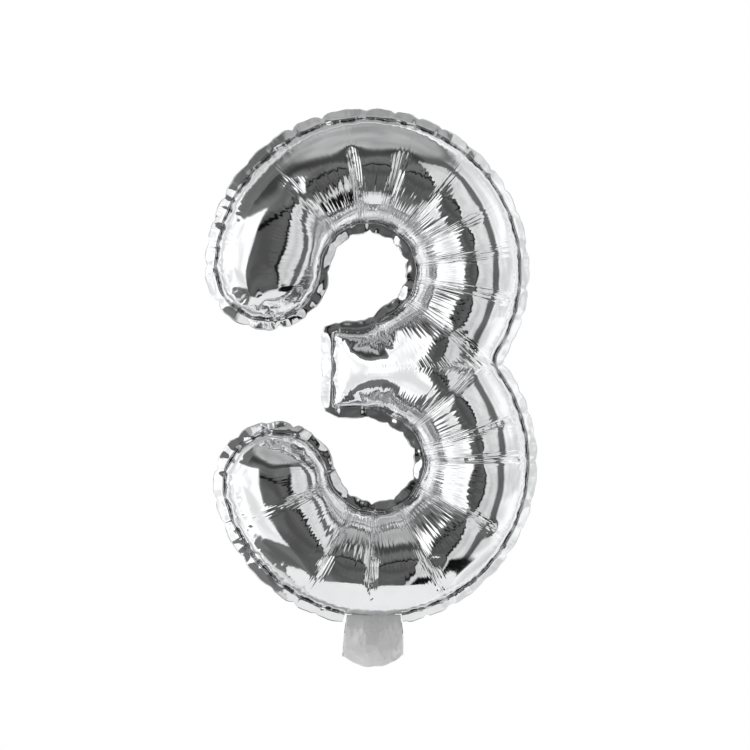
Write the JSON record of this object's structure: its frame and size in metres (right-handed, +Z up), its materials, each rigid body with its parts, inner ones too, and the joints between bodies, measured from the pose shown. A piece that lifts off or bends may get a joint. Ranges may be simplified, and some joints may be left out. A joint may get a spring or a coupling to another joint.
{
  "type": "foil number balloon",
  "caption": "Air-filled silver foil balloon in the shape of the digit three, with a welded margin and a self-sealing inflation neck.",
  "frame": {"origin": "the back of the welded margin at the very top of the digit, where tape or a sticky dot holds the balloon up", "axes": "+Z up along the digit's height, -Y is the front face, +X to the right when the digit reads correctly"},
  "size_m": [0.2195, 0.072, 0.366],
  "materials": {
    "front_panel": "mirror-bright metallised film, finely wrinkled",
    "rear_panel": "mirror-bright metallised film, finely wrinkled",
    "seal_band": "welded foil margin, gathered and slightly dulled",
    "neck_front_film": "mirror-bright metallised film, finely wrinkled",
    "neck_rear_film": "mirror-bright metallised film, finely wrinkled",
    "neck_side_seals": "welded foil edge",
    "valve_films": "thin clear polyethylene film, soft gloss"
  },
  "bodies": {
    "envelope": {"front_panel": "front_panel", "rear_panel": "rear_panel", "seal_band": "seal_band", "valve_rear_film": "valve_films"},
    "neck": {"neck_front_film": "neck_front_film", "neck_rear_film": "neck_rear_film", "neck_side_seal_left": "neck_side_seals", "neck_side_seal_right": "neck_side_seals"},
    "valve": {"valve_front_film": "valve_films"}
  },
  "joints": [
    {"name": "neck_fold", "type": "hinge", "parent": "envelope", "child": "neck", "pos_m": [0.002, -0.0004, -0.3368], "axis": [1, 0, 0], "range_deg": [-90, 90]},
    {"name": "valve_open", "type": "hinge", "parent": "envelope", "child": "valve", "pos_m": [0.002, -0.00075, -0.3323], "axis": [1, 0, 0], "range_deg": [0, 4]}
  ]
}
